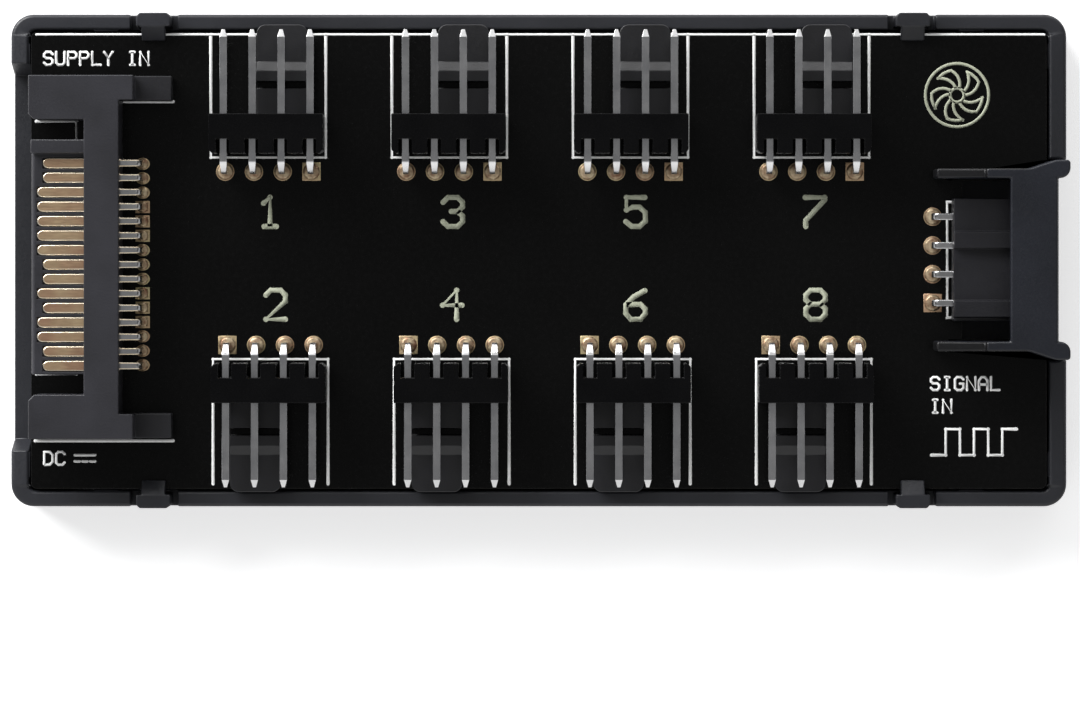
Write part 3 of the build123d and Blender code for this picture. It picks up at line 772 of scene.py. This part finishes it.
outlines = {
    "half": 5.08, "back": 1.25, "upperEnd": 19.96, "lowerEnd": -19.75, "stroke": 0.28,
    "edgeFrom": -44.4, "edgeTo": 44.65, "edgeStroke": 0.19,
}
boardMarks = {
    "aboveLug": [(-36.8, 14.03), (-32.3, 14.03)],
    "belowLug": [(-44.5, -15.93), (-32.3, -15.93)],
    "plug": [(-44.4, 12.3), (-40.84, 12.3), (-40.84, -10.04), (-44.4, -10.04)],
    "socket": [(36.6, 5.16), (36.08, 5.16), (36.08, -5.05), (36.6, -5.05)],
}
boardLines = []
for middle, row, way in headerPlaces.values():
    far = outlines["upperEnd"] if way > 0 else outlines["lowerEnd"]
    near = row + way * outlines["back"]
    boardLines.append([(middle - outlines["half"], far), (middle - outlines["half"], near),
                       (middle + outlines["half"], near), (middle + outlines["half"], far)])
boardLines += boardMarks.values()
edgeLine = [(outlines["edgeFrom"], outlines["upperEnd"]), (outlines["edgeTo"], outlines["upperEnd"])]
printLines("outline_print", boardLines, outlines["stroke"], whiteInk)
printLines("edge_print", [edgeLine], outlines["edgeStroke"], whiteInk)

figures = {"width": 1.72, "height": 2.57, "stroke": 0.48, "upper": 3.0, "lower": -5.2}
figureMiddles = {1: -23.75, 3: -7.6, 5: 8.55, 7: 24.4, 2: -23.25, 4: -7.65, 6: 8.55, 8: 24.45}
figureLines = []
for number, middle in figureMiddles.items():
    bottom = figures["upper"] if number % 2 else figures["lower"]
    figureLines += writing(str(number), middle - figures["width"] / 2, bottom, figures)
printLines("number_print", figureLines, figures["stroke"], paleInk)

labels = {"width": 0.74, "height": 1.14, "advance": 1.06, "stroke": 0.23}
labelPlaces = {
    "SUPPLY IN": (-43.7, 17.28), "DC": (-43.7, -18.05),
    "SIGNAL": (34.65, -11.45), "IN": (34.65, -13.45),
}
direct = {  # the sign for direct current: a bar over three dashes
    "left": -41.0, "right": -39.2, "bar": -17.2, "dashes": -17.75, "count": 3, "dash": 0.44, "step": 0.68,
}
labelLines = []
for words, place in labelPlaces.items():
    labelLines += writing(words, *place, labels)
labelLines.append([(direct["left"], direct["bar"]), (direct["right"], direct["bar"])])
for step in range(direct["count"]):
    dashStart = direct["left"] + step * direct["step"]
    labelLines.append([(dashStart, direct["dashes"]), (dashStart + direct["dash"], direct["dashes"])])
printLines("label_print", labelLines, labels["stroke"], whiteInk)

pulse = {"left": 34.7, "low": -17.2, "high": -14.9, "step": 1.25, "steps": 6, "stroke": 0.3}
pulseLine = []
for step in range(pulse["steps"]):
    pulseStart = pulse["left"] + step * pulse["step"]
    pulseLevel = pulse["high"] if step % 2 else pulse["low"]
    pulseLine += [(pulseStart, pulseLevel), (pulseStart + pulse["step"], pulseLevel)]
printLines("pulse_print", [pulseLine], pulse["stroke"], whiteInk)

fanMark = {
    "x": 36.95, "y": 14.6, "stroke": 0.26, "ring": 2.8, "ringSteps": 40, "hub": 0.62, "hubSteps": 16,
    "reach": 2.25, "blades": 5, "bladeSteps": 6, "lead": 0.55, "leadCurve": 1.5,
    "tipTurn": 0.62, "tipSteps": 4, "trailStart": 0.5, "trail": 0.67, "trailCurve": 1.2,
}


def aroundMark(radius, angle):
    return (fanMark["x"] + radius * math.cos(angle), fanMark["y"] + radius * math.sin(angle))


def markCircle(radius, steps):
    return [aroundMark(radius, math.tau * step / steps) for step in range(steps + 1)]


def markBlade(start):
    span = fanMark["reach"] - fanMark["hub"]
    shares = [step / fanMark["bladeSteps"] for step in range(fanMark["bladeSteps"] + 1)]
    line = []
    for share in shares:  # out along the leading edge
        turn = fanMark["lead"] * share ** fanMark["leadCurve"]
        line.append(aroundMark(fanMark["hub"] + span * share, start + turn))
    for step in range(1, fanMark["tipSteps"] + 1):  # round the tip
        turn = fanMark["lead"] + fanMark["tipTurn"] * step / fanMark["tipSteps"]
        line.append(aroundMark(fanMark["reach"], start + turn))
    for share in reversed(shares[:-1]):  # and back along the trailing edge
        turn = fanMark["trailStart"] + fanMark["trail"] * share ** fanMark["trailCurve"]
        line.append(aroundMark(fanMark["hub"] + span * share, start + turn))
    return line


fanLines = [markCircle(fanMark["ring"], fanMark["ringSteps"])]
fanLines.append(markCircle(fanMark["hub"], fanMark["hubSteps"]))
fanLines += [markBlade(math.tau * blade / fanMark["blades"]) for blade in range(fanMark["blades"])]
printLines("fan_print", fanLines, fanMark["stroke"], paleInk)
print("board printed")


# stage

stage = {
    "floorDark": screen(243, 243, 244), "floorLight": screen(247, 247, 248), "floorHalf": 2.0,
    "cloudPerMetre": 6.0, "roughness": 0.9, "shine": 0.1, "lift": 0.52,
}
sky = {  # low, collar and cap are the heights where one band gives way to the next
    "low": (0.25, 0.35), "collar": (0.62, 0.72), "cap": (0.93, 0.96),
    "lowLight": 0.7, "nearLight": 1.05, "collarLight": (0.1, 1.25), "capLight": 0.2,
}
softboxes = {
    "softboxLeft": {"place": (-0.36, 0.38, 0.3), "size": (0.45, 0.25), "watts": 5.5},
    "softboxFar": {"place": (-0.1, 0.6, 0.12), "size": (1.4, 0.22), "watts": 2.6},  # lights the far edges
}
view = {
    "distance": 0.55, "lens": 207.5, "sensor": 36.0, "clip": (0.01, 20.0),
    "shiftX": 0.0011, "shiftY": -0.0908,
}


def layFloor():
    half = stage["floorHalf"]
    mesh = bpy.data.meshes.new("floor")
    corners = [(-half, -half, 0), (half, -half, 0), (half, half, 0), (-half, half, 0)]
    mesh.from_pydata(corners, [], [(0, 1, 2, 3)])
    material, tree, shader, coords = startMaterial("paleFloor")
    cloud = noiseOf(tree, coords, stage["cloudPerMetre"])
    colour = blendOf(tree, cloud, stage["floorDark"], stage["floorLight"], low=0.3, high=0.7)
    tree.links.new(colour, shader.inputs["Base Color"])
    shader.inputs["Roughness"].default_value = stage["roughness"]
    shader.inputs["Specular IOR Level"].default_value = stage["shine"]
    seen = addNode(tree, "ShaderNodeLightPath").outputs["Is Camera Ray"]
    shader.inputs["Emission Color"].default_value = (1.0, 1.0, 1.0, 1.0)
    tree.links.new(rangeOf(tree, seen, 0.0, stage["lift"], 0.0, 1.0), shader.inputs["Emission Strength"])
    mesh.materials.append(material)
    return link(bpy.data.objects.new("floor", mesh))


def grey(value):
    return (value, value, value, 1.0)


def mixOf(tree, first, second, kind="MIX", factor=1.0):  # 6, 7 and 2 are the colour sockets of the node
    inputs = {"Factor": factor, 6: first, 7: second}
    return addNode(tree, "ShaderNodeMix", inputs, data_type="RGBA", blend_type=kind).outputs[2]


def bandOf(tree, upward, start, end):  # light between two heights, nothing below or above
    dark, light = grey(0.0), grey(1.0)
    return rampOf(tree, upward, [(start[0], dark), (start[1], light), (end[0], light), (end[1], dark)])


def makeWorld():
    world = bpy.data.worlds.new("studio")
    world.use_nodes = True
    tree = world.node_tree
    coords = addNode(tree, "ShaderNodeTexCoord").outputs["Generated"]
    heading = addNode(tree, "ShaderNodeSeparateXYZ", {"Vector": coords}).outputs
    upward, along = heading["Z"], heading["Y"]
    sideways = addNode(tree, "ShaderNodeMath", {0: along}, operation="ABSOLUTE").outputs["Value"]
    base = rampOf(tree, upward, [(sky["low"][0], grey(sky["lowLight"])), (sky["low"][1], grey(0.0)),
                                 (sky["cap"][0], grey(0.0)), (sky["cap"][1], grey(sky["capLight"]))])
    nearSide = rangeOf(tree, along, sky["nearLight"], 0.0, -1.0, 0.0)
    ring = mixOf(tree, bandOf(tree, upward, sky["low"], sky["collar"]), nearSide, "MULTIPLY")
    bothSides = rangeOf(tree, sideways, *sky["collarLight"], 0.0, 1.0)
    collar = mixOf(tree, bandOf(tree, upward, sky["collar"], sky["cap"]), bothSides, "MULTIPLY")
    light = mixOf(tree, mixOf(tree, ring, collar, "ADD"), base, "ADD")
    seen = addNode(tree, "ShaderNodeLightPath").outputs["Is Camera Ray"]
    backdrop = mixOf(tree, light, grey(1.0), factor=seen)
    tree.links.new(backdrop, tree.nodes["Background"].inputs["Color"])
    return world


def hangSoftbox(name, place, size, watts):
    lamp = bpy.data.lights.new(name, "AREA")
    lamp.shape = "RECTANGLE"
    lamp.size, lamp.size_y = size
    lamp.energy = watts
    holder = link(bpy.data.objects.new(name, lamp))
    holder.location = place
    holder.rotation_euler = (-Vector(place)).to_track_quat("-Z", "Y").to_euler()


def makeCamera():
    camera = bpy.data.cameras.new("camera")
    camera.sensor_width = view["sensor"]
    camera.sensor_fit = "HORIZONTAL"
    camera.lens = view["lens"]
    camera.shift_x = view["shiftX"]
    camera.shift_y = view["shiftY"]
    camera.clip_start, camera.clip_end = view["clip"]
    holder = link(bpy.data.objects.new("camera", camera))
    holder.location = (0.0, 0.0, boardTop * mm + view["distance"])
    return holder


floor = layFloor()
scene.world = makeWorld()
for name, box in softboxes.items():
    hangSoftbox(name, **box)
scene.camera = makeCamera()
print("stage set")
